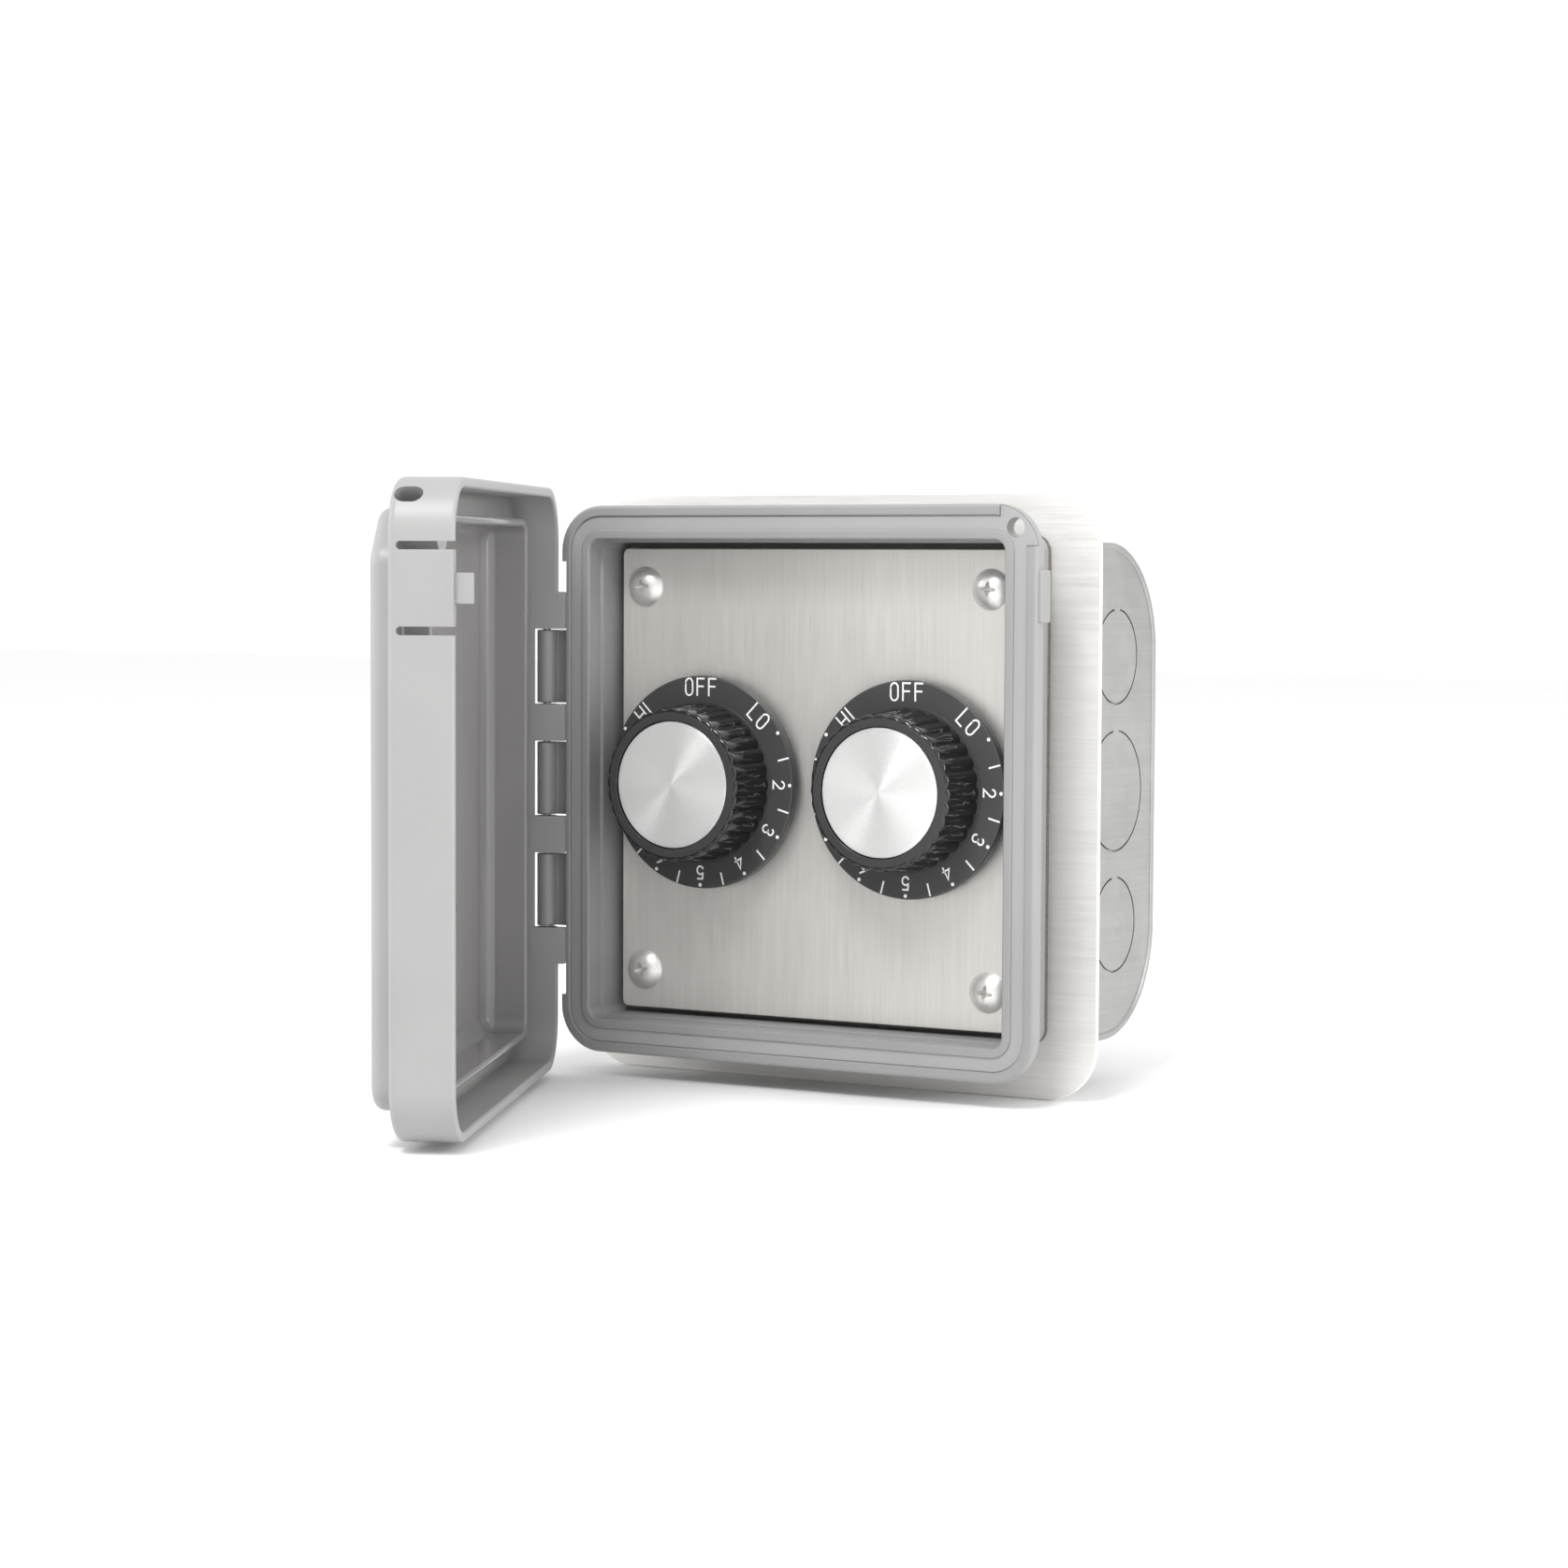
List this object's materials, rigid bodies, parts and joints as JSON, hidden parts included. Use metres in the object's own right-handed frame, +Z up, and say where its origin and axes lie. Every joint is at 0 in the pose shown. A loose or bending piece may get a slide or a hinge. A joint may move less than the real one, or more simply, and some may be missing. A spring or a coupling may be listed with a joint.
{
  "type": "two-dial outdoor controller",
  "caption": "Recessed outdoor control box with two round skirted dials behind a brushed faceplate, in a weatherproof cover with a side-hinged snap-shut lid.",
  "frame": {"origin": "centre of the box's back face, on the centre of its four fixing holes", "axes": "+X to the right, -Y out of the wall towards the user, +Z up"},
  "size_m": [0.145, 0.197, 0.137],
  "materials": {
    "galvanised_steel": "galvanised sheet, satin",
    "stainless_vertical": "stainless, vertical brushed grain",
    "stainless_horizontal": "stainless, horizontal brushed grain",
    "screw_steel": "stainless, satin turned",
    "cover_plastic": "satin moulded plastic",
    "lid_plastic": "satin moulded plastic",
    "dome_plastic": "moulded plastic, glossy inside",
    "seal_rubber": "soft seal strip",
    "foam": "closed-cell foam",
    "knob_black": "moulded phenolic, satin skirt and glossy grip",
    "cap_aluminium": "spun, circular brushed",
    "dial_marks": "printed white marks",
    "earth_green": "green dyed steel",
    "brass": "plain brass",
    "zinc_steel": "zinc plated steel",
    "case_phenolic": "moulded phenolic",
    "cam_nylon": "moulded nylon",
    "bimetal": "bimetal strip"
  },
  "bodies": {
    "housing": {"box_wrap": "galvanised_steel", "box_side_left": "galvanised_steel", "box_side_right": "galvanised_steel", "box_ears": "galvanised_steel", "ground_screw": "earth_green", "wall_plate": "stainless_horizontal", "cover_gasket": "foam", "cover_base": "cover_plastic", "rim_seal": "seal_rubber", "hinge_pin": "screw_steel", "faceplate": "stainless_vertical", "faceplate_screws": "screw_steel", "bushing_nuts": "brass", "lock_washers": "zinc_steel", "switch_front_left": "zinc_steel", "switch_case_left": "case_phenolic", "switch_terminals_left": "brass", "contact_strip_left": "bimetal", "switch_front_right": "zinc_steel", "switch_case_right": "case_phenolic", "switch_terminals_right": "brass", "contact_strip_right": "bimetal"},
    "lid": {"lid_frame": "lid_plastic", "lid_dome": "dome_plastic"},
    "latch": {"latch_tongue": "lid_plastic"},
    "left_control": {"switch_shaft_left": "zinc_steel", "switch_cam_left": "cam_nylon", "knob_left": "knob_black", "knob_cap_left": "cap_aluminium", "knob_spring_left": "zinc_steel"},
    "right_control": {"switch_shaft_right": "zinc_steel", "switch_cam_right": "cam_nylon", "knob_right": "knob_black", "knob_cap_right": "cap_aluminium", "knob_spring_right": "zinc_steel"}
  },
  "joints": [
    {"name": "lid_hinge", "type": "hinge", "parent": "housing", "child": "lid", "pos_m": [-0.0661, -0.0727, 0.0015], "axis": [0, 0, -1], "range_deg": [-65.6, 114.4]},
    {"name": "latch_flex", "type": "hinge", "parent": "lid", "child": "latch", "pos_m": [-0.01961, -0.19491, 0.0467], "axis": [0, 0, -1], "range_deg": [0, 8], "stiffness_Nm_per_rad": 0.1},
    {"name": "left_knob_turn", "type": "hinge", "parent": "housing", "child": "left_control", "pos_m": [-0.0269, -0.0676, 0.0015], "axis": [0, 1, 0], "continuous": true},
    {"name": "right_knob_turn", "type": "hinge", "parent": "housing", "child": "right_control", "pos_m": [0.0269, -0.0676, 0.0015], "axis": [0, 1, 0], "continuous": true}
  ]
}
